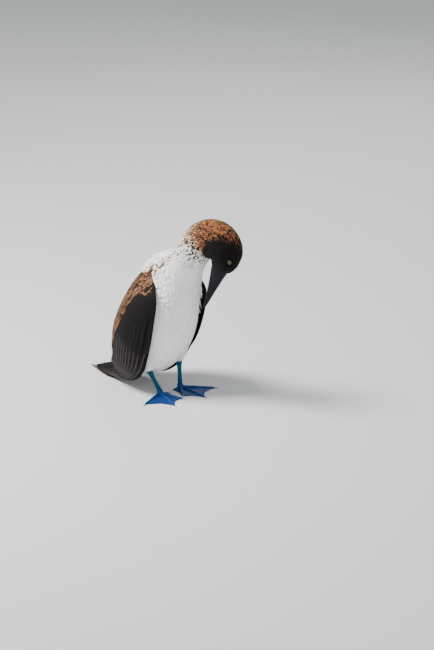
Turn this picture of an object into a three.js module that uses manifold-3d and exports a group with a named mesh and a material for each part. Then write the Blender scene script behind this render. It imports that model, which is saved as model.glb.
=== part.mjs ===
// A blue-footed booby, life size: it stands upright with its neck arched over and its bill pointed down.
// Millimetres, +Z up. The bird faces -Y and its left side is +X. The floor is the plane Z = 0.
// A place on the bird is told as f, how far forward of the feet it is, l, how far to the left, and z, how high.
import * as THREE from "three";
import { mergeVertices } from "three/addons/utils/BufferGeometryUtils.js";
import Module from "manifold-3d";

const wasm = await Module();
wasm.setup();

// Driving dimensions
const GAP = 0.3; // between pieces that touch
const BILL_LENGTH = 106; // from the front of the face to the tip, along the middle
const EYE_RADIUS = 6.4;
const TARSUS_RADIUS = 4.8;
const TOE_LENGTHS = { hallux: 21, inner: 59, middle: 85, outer: 77 }; // without the claw
const CLAW_LENGTH = 9;
const WEB_THICKNESS = 1.6;
const FEET_APART = 62;
const TAIL_THICKNESS = 2.4;
const WING_EDGE = 0.9; // thickness along a wing's front and back edges

// The trunk, neck and head as one bent tube, from the root of the tail to the face.
// up, down and wide reach from a section's middle to its back, its belly and either side. yaw turns the head.
const BODY = [
  { f: -98, l: 0, z: 42, up: 12, down: 14, wide: 18, yaw: 0 },
  { f: -82, l: 0, z: 58, up: 27, down: 42, wide: 36, yaw: 0 },
  { f: -61, l: 0, z: 86, up: 45, down: 62, wide: 55, yaw: 0 },
  { f: -38, l: 0, z: 124, up: 62, down: 75, wide: 68, yaw: 0 },
  { f: -19, l: 0, z: 166, up: 69, down: 79, wide: 70, yaw: 0 },
  { f: -5, l: 0, z: 210, up: 70, down: 73, wide: 68, yaw: 0 },
  { f: 12, l: 0, z: 254, up: 76, down: 66, wide: 59, yaw: 0 },
  { f: 34, l: 1, z: 292, up: 57, down: 54, wide: 48, yaw: 2 },
  { f: 58, l: 3, z: 325, up: 35, down: 44, wide: 40, yaw: 6 },
  { f: 82, l: 6, z: 354, up: 41, down: 41, wide: 36, yaw: 11 },
  { f: 108, l: 10, z: 374, up: 43, down: 43, wide: 34, yaw: 17 },
  { f: 136, l: 16, z: 376, up: 45, down: 46, wide: 33, yaw: 22 },
  { f: 156, l: 21, z: 358, up: 40, down: 44, wide: 31, yaw: 24 },
  { f: 157, l: 21, z: 334, up: 31, down: 40, wide: 26, yaw: 24 },
  { f: 148, l: 18, z: 312, up: 19, down: 28, wide: 17, yaw: 24 },
];
const NECK_FROM = 6.6;
const HEAD_FROM = 11;
const FACE_AT = BODY.length - 1;

// A folded wing as a curved blade between two edges, from its shoulder to its tip, for the left side:
// the front edge and the back edge in f, l and z, how far the blade bulges outwards, and its thickness.
// out is how much further from the body the left wing's front edge is, as the two are not held alike.
const WING = [
  { ff: 14, fl: 58, fz: 266, bf: -8, bl: 14, bz: 308, bulge: 14, out: 4, thick: 3 },
  { ff: 33, fl: 71, fz: 230, bf: -62, bl: 12, bz: 263, bulge: 34, out: 5, thick: 13 },
  { ff: 27, fl: 73, fz: 180, bf: -97, bl: 7, bz: 208, bulge: 50, out: 5, thick: 13 },
  { ff: 14, fl: 70, fz: 132, bf: -128, bl: 4, bz: 150, bulge: 55, out: 4, thick: 11 },
  { ff: 0, fl: 67, fz: 92, bf: -144, bl: 3, bz: 104, bulge: 50, out: -3, thick: 9 },
  { ff: -17, fl: 62, fz: 58, bf: -154, bl: 2.5, bz: 64, bulge: 43, out: -8, thick: 7 },
  { ff: -48, fl: 54, fz: 30, bf: -166, bl: 2.5, bz: 38, bulge: 36, out: -7, thick: 5 },
  { ff: -92, fl: 45, fz: 14, bf: -184, bl: 2.5, bz: 24, bulge: 20, out: -3, thick: 3.6 },
  { ff: -145, fl: 35, fz: 9, bf: -208, bl: 2.5, bz: 17, bulge: 9, out: 0, thick: 2.4 },
  { ff: -226, fl: 15, fz: 7.5, bf: -234, bl: 5, bz: 9.5, bulge: 1.5, out: 0, thick: 1.2 },
];
const WING_PARTS = { coverts: [0, 3.4], secondaries: [3.4, 5.8], primaries: [5.8, 9] };

// The tail as a blade on a line from its tip to its root, pressed down on the floor. wide is half its width.
const TAIL = [
  { f: -262, l: 0, z: 0.6, wide: 4, thick: 1.2, bow: 0 },
  { f: -240, l: 0, z: 0.7, wide: 16, thick: 1.6, bow: 0.3 },
  { f: -208, l: 0, z: 0.8, wide: 25, thick: 2, bow: 0.6 },
  { f: -172, l: 0, z: 1.4, wide: 28, thick: TAIL_THICKNESS, bow: 1 },
  { f: -142, l: 0, z: 6, wide: 27, thick: 3.4, bow: 2 },
  { f: -118, l: 0, z: 18, wide: 24, thick: 6, bow: 3 },
  { f: -96, l: 0, z: 38, wide: 18, thick: 12, bow: 3 },
];

const material = (color, roughness) =>
  new THREE.MeshStandardMaterial({ color, roughness, metalness: 0 });
const WHITE_PLUMAGE = material(0xe9e6df, 0.9);
const HEAD_PLUMAGE = material(0x9c7752, 0.9);
const BROWN_PLUMAGE = material(0x3a2c22, 0.8);
const TAIL_PLUMAGE = material(0x4a3b2e, 0.8);
const BILL_HORN = material(0x3c444c, 0.45);
const EYE_SURFACE = material(0xd8c565, 0.1);
const BLUE_SKIN = material(0x2f86c4, 0.55);
const CLAW_HORN = material(0xb9bdb6, 0.4);

const SLOPE_STEP = 0.05; // rows on either side of a section that its direction is taken from
const ROOM = 0.4; // how much larger than a piece the space is that its neighbours leave for it
const radians = THREE.MathUtils.degToRad;
const place = (f, l, z) => new THREE.Vector3(l, -f, z);

// The numbers of a table at position t, smooth from row to row.
function numbersAt(rows, t) {
  const last = rows.length - 1;
  const row = Math.min(Math.floor(t), last - 1);
  const u = t - row;
  const found = {};
  for (const key of Object.keys(rows[0])) {
    const [a, b, c, d] = [-1, 0, 1, 2].map((k) => rows[THREE.MathUtils.clamp(row + k, 0, last)][key]);
    found[key] = b + 0.5 * u * (c - a + u * (2 * a - 5 * b + 4 * c - d + u * (3 * (b - c) + d - a)));
  }
  return found;
}

// The middle of a section, and the directions ahead, to the bird's left and to its back there.
function frameAt(rows, t) {
  const at = numbersAt(rows, t);
  const before = numbersAt(rows, Math.max(0, t - SLOPE_STEP));
  const after = numbersAt(rows, Math.min(rows.length - 1, t + SLOPE_STEP));
  const ahead = place(after.f - before.f, after.l - before.l, after.z - before.z).normalize();
  const yaw = radians(at.yaw ?? 0);
  const side = new THREE.Vector3(Math.cos(yaw), Math.sin(yaw), 0);
  side.addScaledVector(ahead, -side.dot(ahead)).normalize();
  const back = ahead.clone().cross(side);
  return { at, ahead, side, back, middle: place(at.f, at.l, at.z) };
}

// A point at an angle round a tube's section, 0 at its back and 90 degrees at its left.
function onTube(rows, t, angle, grow = 0) {
  const { at, side, back, middle } = frameAt(rows, t);
  const reach = Math.cos(angle) > 0 ? at.up : at.down;
  return middle
    .addScaledVector(back, (reach + grow) * Math.cos(angle))
    .addScaledVector(side, (at.wide + grow) * Math.sin(angle));
}

const spread = (from, to, count) =>
  Array.from({ length: count + 1 }, (_, k) => from + ((to - from) * k) / count);

// Closed rings of points joined into one solid surface with flat ends.
function loft(rings) {
  const around = rings[0].length;
  const points = rings.flat();
  const faces = [];
  for (let ring = 0; ring < rings.length - 1; ring++)
    for (let k = 0; k < around; k++) {
      const a = ring * around + k;
      const b = ring * around + ((k + 1) % around);
      faces.push(a, a + around, b + around, a, b + around, b);
    }
  const close = (ring, outward) => {
    const centre = rings[ring].reduce((sum, p) => sum.add(p), new THREE.Vector3()).divideScalar(around);
    const hub = points.push(centre) - 1;
    for (let k = 0; k < around; k++) {
      const edge = [ring * around + k, ring * around + ((k + 1) % around)];
      faces.push(hub, ...(outward ? edge : edge.reverse()));
    }
  };
  close(0, true);
  close(rings.length - 1, false);
  return new THREE.BufferGeometry().setFromPoints(points).setIndex(faces);
}

// A closed geometry as a solid that can be joined and cut, and such a solid as a named mesh.
function solidFrom(geometry) {
  const bare = geometry.clone();
  bare.deleteAttribute("normal");
  bare.deleteAttribute("uv");
  const merged = mergeVertices(bare, 1e-4);
  const triVerts = new Uint32Array(merged.index.array);
  const vertProperties = merged.attributes.position.array;
  return new wasm.Manifold(new wasm.Mesh({ numProp: 3, vertProperties, triVerts }));
}
function meshFrom(name, solid, finish) {
  const { vertProperties, triVerts } = solid.getMesh();
  const geometry = new THREE.BufferGeometry();
  geometry.setAttribute("position", new THREE.BufferAttribute(new Float32Array(vertProperties), 3));
  geometry.setIndex(new THREE.BufferAttribute(new Uint32Array(triVerts), 1));
  geometry.computeVertexNormals();
  const mesh = new THREE.Mesh(geometry, finish);
  mesh.name = name;
  return mesh;
}

const largest = (solid) => solid.decompose().sort((a, b) => b.volume() - a.volume())[0];

// What joins and cuts use: a ball, and the ground below the bird.
function ballAt(centre, radius, across = 14) {
  const ball = new THREE.SphereGeometry(radius, across, across / 2);
  return solidFrom(ball.translate(centre.x, centre.y, centre.z));
}
const GROUND_SIZE = 1000;
const ground = solidFrom(
  new THREE.BoxGeometry(GROUND_SIZE, GROUND_SIZE, GROUND_SIZE).translate(0, 0, -GROUND_SIZE / 2),
);

// Trunk, neck and head
function tubeSolid(rows, from, to, rings, around, grow = 0) {
  const angles = spread(0, 2 * Math.PI, around).slice(0, -1);
  return solidFrom(
    loft(spread(from, to, rings).map((t) => angles.map((angle) => onTube(rows, t, angle, grow)))),
  );
}
const ROW_SPACING = 40; // usual distance between the rows of BODY
const CUT = GAP / 2 / ROW_SPACING;
const TRUNK_SHAPE = [BODY, 0, NECK_FROM - CUT, 18, 26];
const NECK_SHAPE = [BODY, NECK_FROM + CUT, HEAD_FROM - CUT, 13, 24];
const HEAD_SHAPE = [BODY, HEAD_FROM + CUT, FACE_AT, 11, 24];
const trunkRoom = tubeSolid(...TRUNK_SHAPE, ROOM);
const neckRoom = tubeSolid(...NECK_SHAPE, ROOM);

// Eyes, sunk in the head's sides behind the bill
const EYE_AT = 12.75; // row of BODY
const EYE_ANGLE = radians(60);
const EYE_SINK = 4.4;
const eyeCentre = (sign) => onTube(BODY, EYE_AT, sign * EYE_ANGLE, -EYE_SINK);
const eyes = { left: eyeCentre(1), right: eyeCentre(-1) };
const head = Object.values(eyes).reduce(
  (solid, centre) => solid.subtract(ballAt(centre, EYE_RADIUS + GAP)),
  tubeSolid(...HEAD_SHAPE),
);

// Bill: two halves that meet along the mouth, straight to a slightly hooked tip
const face = frameAt(BODY, FACE_AT);
const BILL_TIP = place(104, 0, 213);
const MOUTH_LOW = 5.5; // how far below the middle of the face the mouth starts
const LOWER_SHARE = 0.975; // the lower half's length as a share of the upper one's
const BILL_PROFILE = [
  { share: 0, up: 19.5, down: 20, wide: 14.5 },
  { share: 0.1, up: 17.5, down: 18, wide: 13 },
  { share: 0.28, up: 14, down: 13.5, wide: 10.5 },
  { share: 0.5, up: 10.5, down: 9, wide: 7.8 },
  { share: 0.75, up: 6.8, down: 5, wide: 5.2 },
  { share: 0.93, up: 4, down: 2.4, wide: 3 },
  { share: 1, up: 1.2, down: 0.8, wide: 1 },
];
const billStart = face.middle.clone().addScaledVector(face.ahead, GAP).addScaledVector(face.back, -MOUTH_LOW);
const billAhead = BILL_TIP.clone().sub(billStart).normalize();
const billSide = face.side.clone().addScaledVector(billAhead, -face.side.dot(billAhead)).normalize();
const billBack = billAhead.clone().cross(billSide);
function billHalf(upper) {
  const sign = upper ? 1 : -1;
  const angles = spread(-90, 90, 9).map((a) => radians(upper ? a : a + 180));
  const reachKey = upper ? "up" : "down";
  const rings = BILL_PROFILE.map((row) => {
    const [back, side] = row.share ? [billBack, billSide] : [face.back, face.side];
    const middle = billStart
      .clone()
      .addScaledVector(billAhead, row.share * BILL_LENGTH * (upper ? 1 : LOWER_SHARE))
      .addScaledVector(back, (sign * GAP) / 2);
    return angles.map((angle) =>
      middle
        .clone()
        .addScaledVector(back, row[reachKey] * Math.cos(angle))
        .addScaledVector(side, row.wide * Math.sin(angle)),
    );
  });
  return solidFrom(loft(rings));
}

// Wings
const WING_ROW_SPACING = 45;
const WING_FULLNESS = 0.65; // how square the bulge is, 1 for a plain arch
// A point on a wing's outer face, as on the left side, share 0 at its back edge and 1 at its front edge.
// out is 1 for the left wing and 0 for the right.
function wingPoint(t, share, out) {
  const w = numbersAt(WING, t);
  const back = place(w.bf, w.bl, w.bz);
  const front = place(w.ff, w.fl + w.out * out, w.fz);
  const before = numbersAt(WING, Math.max(0, t - SLOPE_STEP));
  const after = numbersAt(WING, Math.min(WING.length - 1, t + SLOPE_STEP));
  const forward = after.ff + after.bf - before.ff - before.bf;
  const run = place(forward, 0, after.fz + after.bz - before.fz - before.bz);
  const across = front.clone().sub(back);
  const outward = across.clone().cross(run).normalize();
  const bulge = w.bulge * Math.pow(4 * share * (1 - share), WING_FULLNESS);
  return back.addScaledVector(across, share).addScaledVector(outward, bulge);
}
function wingNormal(t, share, out) {
  const step = 0.02;
  const s = THREE.MathUtils.clamp(share, 0.04, 0.96);
  const u = THREE.MathUtils.clamp(t, step, WING.length - 1 - step);
  const down = wingPoint(u + step, s, out).sub(wingPoint(u - step, s, out));
  const forward = wingPoint(u, s + step, out).sub(wingPoint(u, s - step, out));
  return forward.cross(down).normalize();
}
// One length of a wing between two rows, clear of the trunk, the neck and the thigh.
// It is thickest near its front edge. Slivers that the cuts leave are dropped.
function wingPart([from, to], leg) {
  const last = WING.length - 1;
  const cut = GAP / 2 / WING_ROW_SPACING;
  const out = leg.sign > 0 ? 1 : 0;
  const shares = spread(0, Math.PI, 8).map((a) => (1 - Math.cos(a)) / 2);
  const rings = spread(from && from + cut, to < last ? to - cut : to, 7).map((t) => {
    const { thick } = numbersAt(WING, t);
    const depth = (share) => WING_EDGE + (thick - WING_EDGE) * 1.9 * share * Math.pow(1 - share, 0.4);
    const outer = shares.map((share) => wingPoint(t, share, out));
    const inner = outer.map((p, k) =>
      p.clone().addScaledVector(wingNormal(t, shares[k], out), -depth(shares[k])),
    );
    return [...inner, ...outer.reverse()];
  });
  const wing = solidFrom(loft(rings));
  const placed = leg.sign > 0 ? wing : wing.mirror([1, 0, 0]);
  return largest(placed.subtract(trunkRoom).subtract(neckRoom).subtract(leg.thighRoom));
}

// Tail: a wedge of stiff feathers, thin at its edges
function tailSolid() {
  const shares = spread(-1, 1, 8);
  const rings = spread(0, TAIL.length - 1, 12).map((t) => {
    const { at, ahead, middle } = frameAt(TAIL, t);
    const side = new THREE.Vector3(1, 0, 0);
    const back = ahead.clone().cross(side);
    const point = (share, depth) =>
      middle
        .clone()
        .addScaledVector(side, at.wide * share)
        .addScaledVector(back, depth - at.bow * share * share);
    const depth = (share) => at.thick * (0.5 + 0.5 * Math.sqrt(1 - share * share));
    const top = shares.map((share) => point(share, depth(share) / 2));
    const under = shares.map((share) => point(share, -depth(share) / 2));
    return [...top, ...under.reverse()];
  });
  return solidFrom(loft(rings)).subtract(ground);
}

// Legs and feet
const LEGS = {
  left: { sign: 1, yaw: -3, heel: place(-3, FEET_APART / 2, 62), knee: place(-8, 36, 112) },
  right: { sign: -1, yaw: -20, heel: place(-32, -FEET_APART / 2, 46), knee: place(-34, -37, 100) },
};
const TOE_ANGLES = { hallux: -88, inner: -34, middle: 0, outer: 48 }; // from straight ahead, outwards
const ANKLE_HEIGHT = 9;
const ANKLE_RADIUS = 7;
const ankleOf = (leg) => place(0, leg.heel.x, ANKLE_HEIGHT);

// A rod along a line. Each row of its profile is a share of the line, and half its width and depth there.
function rodBetween(from, to, profile, around) {
  const ahead = to.clone().sub(from);
  const side = new THREE.Vector3(1, 0, 0);
  side.addScaledVector(ahead, -side.dot(ahead) / ahead.lengthSq()).normalize();
  const back = ahead.clone().normalize().cross(side);
  const rings = profile.map(([share, across, deep]) => {
    const middle = from.clone().addScaledVector(ahead, share);
    return spread(0, 2 * Math.PI, around)
      .slice(0, -1)
      .map((a) =>
        middle
          .clone()
          .addScaledVector(back, deep * Math.cos(a))
          .addScaledVector(side, across * Math.sin(a)),
      );
  });
  return solidFrom(loft(rings));
}

// A rod's profile, a gap wider and longer.
const roomier = (profile) => profile.map(([share, across, deep]) => [share * 1.01, across + GAP, deep + GAP]);

const r = TARSUS_RADIUS;
const SHANK_PROFILE = [
  [-0.12, 0.4 * r, 0.5 * r],
  [-0.07, 1.1 * r, 1.3 * r],
  [0.02, 1.35 * r, 1.65 * r],
  [0.16, 1.1 * r, 1.3 * r],
  [0.4, 0.9 * r, 1.1 * r],
  [0.7, 0.92 * r, 1.12 * r],
  [0.84, 1.12 * r, 1.2 * r],
  [0.93, 0.9 * r, 0.9 * r],
];
const THIGH_PROFILE = [
  [0, 22, 25],
  [0.35, 21, 24],
  [0.65, 16, 18],
  [0.85, 10.5, 12],
  [1, 6.6, 8],
];

// Where a toe points on the floor, as (f, l) turned from straight ahead.
function toeDirection(leg, name) {
  const turn = radians(leg.yaw + leg.sign * TOE_ANGLES[name]);
  return { f: Math.cos(turn), l: Math.sin(turn) };
}
function alongToe(leg, name, distance, height, aside = 0) {
  const { f, l } = toeDirection(leg, name);
  const ankle = ankleOf(leg);
  return place(f * distance - l * aside, ankle.x + l * distance + f * aside, height);
}
// A toe with two knuckles, flat underneath. Each row is a distance from the ankle, half a width and a height.
function toeSolid(leg, name) {
  const length = TOE_LENGTHS[name];
  const bulk = name === "hallux" ? 0.75 : 1;
  const knuckles = [
    [-5, 3.4, 5],
    [4, 4.6, 8.4],
    [0.3 * length, 3.6, 7.2],
    [0.4 * length, 4.2, 7.4],
    [0.62 * length, 3.2, 5.8],
    [0.7 * length, 3.7, 6],
    [0.92 * length, 2.9, 5],
    [length, 1.9, 3.8],
  ];
  const rings = knuckles.map(([distance, across, height]) =>
    [-90, -45, 0, 45, 90].map((a) => {
      const aside = across * bulk * Math.sin(radians(a)) * (Math.abs(a) === 90 ? 0.9 : 1);
      return alongToe(leg, name, distance, height * bulk * Math.cos(radians(a)), aside);
    }),
  );
  return solidFrom(loft(rings));
}
// The web between the toes, its front edges drawn in a little between each two.
const WEB_LIFT = 0.4;
const WEB_REACH = 0.95; // how far along a toe the web goes
const WEB_INSET = 0.12;
function webSolid(leg) {
  const names = ["hallux", "inner", "middle", "outer"];
  const edge = [alongToe(leg, "middle", -3, 0)];
  const cornerAt = (name) => alongToe(leg, name, WEB_REACH * TOE_LENGTHS[name], 0);
  names.forEach((name, k) => {
    edge.push(cornerAt(name));
    if (k === names.length - 1) return;
    const halfway = cornerAt(name).lerp(cornerAt(names[k + 1]), 0.5);
    edge.push(halfway.lerp(ankleOf(leg).setZ(0), WEB_INSET));
  });
  const outline = new THREE.Shape(edge.map((p) => new THREE.Vector2(p.x, p.y)));
  const web = new THREE.ExtrudeGeometry(outline, { depth: WEB_THICKNESS, bevelEnabled: false });
  return solidFrom(web.translate(0, 0, WEB_LIFT));
}
function footSolid(leg) {
  const hub = ballAt(ankleOf(leg).setZ(ANKLE_HEIGHT - 1), ANKLE_RADIUS, 12);
  return Object.keys(TOE_LENGTHS)
    .reduce((solid, name) => solid.add(toeSolid(leg, name)), webSolid(leg))
    .add(hub)
    .subtract(ground);
}
// A claw ahead of its toe. Each row is a share of its length, half a width and half a height.
function clawSolid(leg, name) {
  const from = TOE_LENGTHS[name] + GAP;
  const size = name === "hallux" ? 0.75 : 1;
  const profile = [
    [0, 1.5, 1.9],
    [0.35, 1.3, 2],
    [0.7, 0.8, 1.5],
    [1, 0.25, 0.65],
  ];
  const rings = profile.map(([share, across, height]) =>
    spread(0, 2 * Math.PI, 8)
      .slice(0, -1)
      .map((a) => {
        const tall = height * size * (1 + Math.cos(a));
        return alongToe(leg, name, from + share * CLAW_LENGTH * size, tall, across * size * Math.sin(a));
      }),
  );
  return solidFrom(loft(rings));
}

const bird = new THREE.Group();
bird.add(
  meshFrom("trunk", tubeSolid(...TRUNK_SHAPE), WHITE_PLUMAGE),
  meshFrom("neck", tubeSolid(...NECK_SHAPE), HEAD_PLUMAGE),
  meshFrom("head", head, HEAD_PLUMAGE),
  meshFrom("bill_upper", billHalf(true), BILL_HORN),
  meshFrom("bill_lower", billHalf(false), BILL_HORN),
  meshFrom("tail", tailSolid().subtract(trunkRoom), TAIL_PLUMAGE),
);
for (const [name, centre] of Object.entries(eyes))
  bird.add(meshFrom(`eye_${name}`, ballAt(centre, EYE_RADIUS), EYE_SURFACE));
for (const [name, leg] of Object.entries(LEGS)) {
  const shank = rodBetween(leg.heel, ankleOf(leg), SHANK_PROFILE, 12);
  const shankRoom = rodBetween(leg.heel, ankleOf(leg), roomier(SHANK_PROFILE), 12);
  const ankleRoom = ballAt(ankleOf(leg).setZ(ANKLE_HEIGHT - 1), ANKLE_RADIUS + GAP, 12);
  const thigh = rodBetween(leg.knee, leg.heel, THIGH_PROFILE, 16).subtract(trunkRoom).subtract(shankRoom);
  leg.thighRoom = rodBetween(leg.knee, leg.heel, roomier(THIGH_PROFILE), 16);
  bird.add(
    meshFrom(`thigh_${name}`, thigh, WHITE_PLUMAGE),
    meshFrom(`shank_${name}`, shank.subtract(ankleRoom).subtract(trunkRoom), BLUE_SKIN),
    meshFrom(`foot_${name}`, footSolid(leg), BLUE_SKIN),
  );
  for (const toe of Object.keys(TOE_LENGTHS))
    bird.add(meshFrom(`claw_${name}_${toe}`, clawSolid(leg, toe), CLAW_HORN));
  for (const [part, rows] of Object.entries(WING_PARTS))
    bird.add(meshFrom(`wing_${name}_${part}`, wingPart(rows, leg), BROWN_PLUMAGE));
}

// The frame's origin is under the middle of the bird, on the floor.
const room = new THREE.Box3().setFromObject(bird);
const middle = room.getCenter(new THREE.Vector3());
bird.position.set(-middle.x, -middle.y, -room.min.z);
const booby = new THREE.Group();
booby.add(bird);

export default booby;
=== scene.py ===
import math

import bmesh
import bpy
import numpy as np
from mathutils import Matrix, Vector
from mathutils.bvhtree import BVHTree
from mathutils.kdtree import KDTree


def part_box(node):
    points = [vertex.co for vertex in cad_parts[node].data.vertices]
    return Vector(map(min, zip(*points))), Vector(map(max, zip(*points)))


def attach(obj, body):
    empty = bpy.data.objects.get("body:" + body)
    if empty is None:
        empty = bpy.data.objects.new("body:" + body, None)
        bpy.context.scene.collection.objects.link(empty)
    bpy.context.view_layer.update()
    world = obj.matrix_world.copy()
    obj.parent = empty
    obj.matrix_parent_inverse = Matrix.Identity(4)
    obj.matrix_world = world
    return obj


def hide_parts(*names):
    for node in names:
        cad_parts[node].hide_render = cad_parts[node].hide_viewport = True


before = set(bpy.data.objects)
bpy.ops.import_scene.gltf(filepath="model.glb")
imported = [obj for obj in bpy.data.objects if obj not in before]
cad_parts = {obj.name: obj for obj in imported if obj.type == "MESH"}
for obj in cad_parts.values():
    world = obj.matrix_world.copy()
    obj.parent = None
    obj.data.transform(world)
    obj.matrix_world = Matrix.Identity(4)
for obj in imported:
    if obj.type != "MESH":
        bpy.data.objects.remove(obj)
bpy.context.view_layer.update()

# The body's tube, the wing's blade and the tail, the same as in the CAD model, in millimetres.
# f is forward of the feet, l is to the bird's left and z is up. Body rows run from the root of the tail,
# row 0, to the face, row 14. Angles round the body start at the back and reach 180 degrees at the belly.
BODY_KEYS = ("f", "l", "z", "up", "down", "wide", "yaw")
BODY = np.array([
    (-98, 0, 42, 12, 14, 18, 0),
    (-82, 0, 58, 27, 42, 36, 0),
    (-61, 0, 86, 45, 62, 55, 0),
    (-38, 0, 124, 62, 75, 68, 0),
    (-19, 0, 166, 69, 79, 70, 0),
    (-5, 0, 210, 70, 73, 68, 0),
    (12, 0, 254, 76, 66, 59, 0),
    (34, 1, 292, 57, 54, 48, 2),
    (58, 3, 325, 35, 44, 40, 6),
    (82, 6, 354, 41, 41, 36, 11),
    (108, 10, 374, 43, 43, 34, 17),
    (136, 16, 376, 45, 46, 33, 22),
    (156, 21, 358, 40, 44, 31, 24),
    (157, 21, 334, 31, 40, 26, 24),
    (148, 18, 312, 19, 28, 17, 24),
], float)
WING_KEYS = ("ff", "fl", "fz", "bf", "bl", "bz", "bulge", "out", "thick")
WING = np.array([
    (14, 58, 266, -8, 14, 308, 14, 4, 3),
    (33, 71, 230, -62, 12, 263, 34, 5, 13),
    (27, 73, 180, -97, 7, 208, 50, 5, 13),
    (14, 70, 132, -128, 4, 150, 55, 4, 11),
    (0, 67, 92, -144, 3, 104, 50, -3, 9),
    (-17, 62, 58, -154, 2.5, 64, 43, -8, 7),
    (-48, 54, 30, -166, 2.5, 38, 36, -7, 5),
    (-92, 45, 14, -184, 2.5, 24, 20, -3, 3.6),
    (-145, 35, 9, -208, 2.5, 17, 9, 0, 2.4),
    (-226, 15, 7.5, -234, 5, 9.5, 1.5, 0, 1.2),
], float)
TAIL_KEYS = ("f", "l", "z", "wide", "thick", "bow")
TAIL = np.array([
    (-262, 0, 0.6, 4, 1.2, 0),
    (-240, 0, 0.7, 16, 1.6, 0.3),
    (-208, 0, 0.8, 25, 2, 0.6),
    (-172, 0, 1.4, 28, 2.4, 1),
    (-142, 0, 6, 27, 3.4, 2),
    (-118, 0, 18, 24, 6, 3),
    (-96, 0, 38, 18, 12, 3),
], float)
EYE_ROW = 12.75
EYE_ANGLE = math.radians(60)
EYE_SINK = 4.4
EYE_RADIUS = 6.4
BILL_LENGTH = 106
BILL_TIP = (104, 0, 213)
MOUTH_LOW = 5.5
BILL_SHAPE = np.array([
    # share of the length, up, down, wide
    (0, 19.5, 20, 14.5),
    (0.1, 17.5, 18, 13),
    (0.28, 14, 13.5, 10.5),
    (0.5, 10.5, 9, 7.8),
    (0.75, 6.8, 5, 5.2),
    (0.93, 4, 2.4, 3),
    (1, 1.2, 0.8, 1),
], float)

# How deep the coat is, in millimetres, and the feathers' colours, in sRGB
COAT_DEPTH = 2.5
WHITE = (0.97, 0.965, 0.955)
CREAM = (0.97, 0.86, 0.72)
CINNAMON = (0.66, 0.39, 0.21)
DARK_BROWN = (0.10, 0.05, 0.03)
# The face and throat colour is a real dark brown, made near-black with painted shade.
FACE_BROWN_AND_SHADE = (0.04, 0.028, 0.026)
FACE_SKIN = (0.06, 0.075, 0.10)
# The wings' colour is a real dark brown, made near-black with painted shade.
WING_BROWN_AND_SHADE = (0.048, 0.036, 0.034)
WING_EDGE = (0.30, 0.27, 0.26)
SCAPULAR = (0.26, 0.16, 0.10)
TAIL_BROWN = (0.26, 0.21, 0.175)
SHAFT = (0.70, 0.66, 0.58)
CLAW_DARK = (0.50, 0.50, 0.48)
CLAW_PALE = (0.80, 0.80, 0.76)


# Numbers
SLOPE_STEP = 0.05


def numbers_at(table, keys, t):
    """The columns of a table at positions t, smooth from row to row."""
    t = np.asarray(t, float)
    last = len(table) - 1
    row = np.clip(np.floor(t).astype(int), 0, last - 1)
    u = (t - row)[..., None]
    a, b, c, d = (table[np.clip(row + k, 0, last)] for k in (-1, 0, 1, 2))
    found = b + 0.5 * u * (c - a + u * (2 * a - 5 * b + 4 * c - d + u * (3 * (b - c) + d - a)))
    return {key: found[..., k] for k, key in enumerate(keys)}


def numbers_near(table, keys, t):
    """The columns of a table at t, and how much each one changes from just before t to just after it."""
    after = numbers_at(table, keys, np.minimum(t + SLOPE_STEP, len(table) - 1))
    before = numbers_at(table, keys, np.maximum(t - SLOPE_STEP, 0))
    return numbers_at(table, keys, t), {key: after[key] - before[key] for key in keys}


def place(f, l, z):
    """Bird coordinates as x, y and z."""
    return np.stack(np.broadcast_arrays(l, -np.asarray(f, float), z), -1).astype(float)


def unit(v):
    return v / np.maximum(np.linalg.norm(v, axis=-1, keepdims=True), 1e-9)


def dot(a, b):
    return (a * b).sum(-1, keepdims=True)


def body_frame(t):
    """The middle of the body's section at t, and the ways ahead, to the left and to the back there."""
    t = np.asarray(t, float)
    at, change = numbers_near(BODY, BODY_KEYS, t)
    ahead = unit(place(change["f"], change["l"], change["z"]))
    yaw = np.radians(at["yaw"])
    side = np.stack([np.cos(yaw), np.sin(yaw), np.zeros_like(yaw)], -1)
    side = unit(side - dot(side, ahead) * ahead)
    return at, ahead, side, np.cross(ahead, side), place(at["f"], at["l"], at["z"])


def on_body(t, angle, grow=0):
    """Points on the body's tube at rows t, or grow millimetres outside it."""
    at, _, side, back, middle = body_frame(t)
    reach = np.where(np.cos(angle) > 0, at["up"], at["down"])
    return (
        middle
        + ((reach + grow) * np.cos(angle))[..., None] * back
        + ((at["wide"] + grow) * np.sin(angle))[..., None] * side
    )


# The CAD model is shifted so that its box stands on the origin; the right eye tells by how much.
SIGNS = {"left": 1, "right": -1}
EYES = {side: on_body(np.array(EYE_ROW), sign * EYE_ANGLE, -EYE_SINK) for side, sign in SIGNS.items()}
eye_low, eye_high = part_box("eye_right")
SHIFT = np.array((eye_low + eye_high) / 2) * 1000 - EYES["right"]


def metres(points):
    """Places in the frame, in metres, of points in the bird's millimetres."""
    return (np.asarray(points) + SHIFT) / 1000


def linear(colour):
    """An sRGB colour in linear light."""
    c = np.asarray(colour, float)
    return np.where(c <= 0.04045, c / 12.92, ((np.maximum(c, 0) + 0.055) / 1.055) ** 2.4)


def mix(a, b, share):
    share = np.asarray(share)[..., None]
    return np.asarray(a) * (1 - share) + np.asarray(b) * share


def ramp(x, low, high):
    """0 below low, 1 above high and smooth between them."""
    s = np.clip((np.asarray(x, float) - low) / (np.asarray(high, float) - low), 0, 1)
    return s * s * (3 - 2 * s)


# Meshes
def new_object(name, data):
    made = bpy.data.objects.new(name, data)
    bpy.context.scene.collection.objects.link(made)
    return made


def mesh_object(name, points, faces, replaces=()):
    """A piece in the scene, from points in metres and faces with any count of corners."""
    mesh = bpy.data.meshes.new(name)
    mesh.from_pydata(points, [], faces)
    mesh.validate()
    mesh.shade_smooth()
    return settle(new_object(name, mesh), replaces)


def settle(piece, replaces=()):
    """Puts a piece under the root body and hides the CAD nodes it stands for."""
    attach(piece, "root")
    if replaces:
        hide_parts(*replaces)
    return piece


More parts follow.
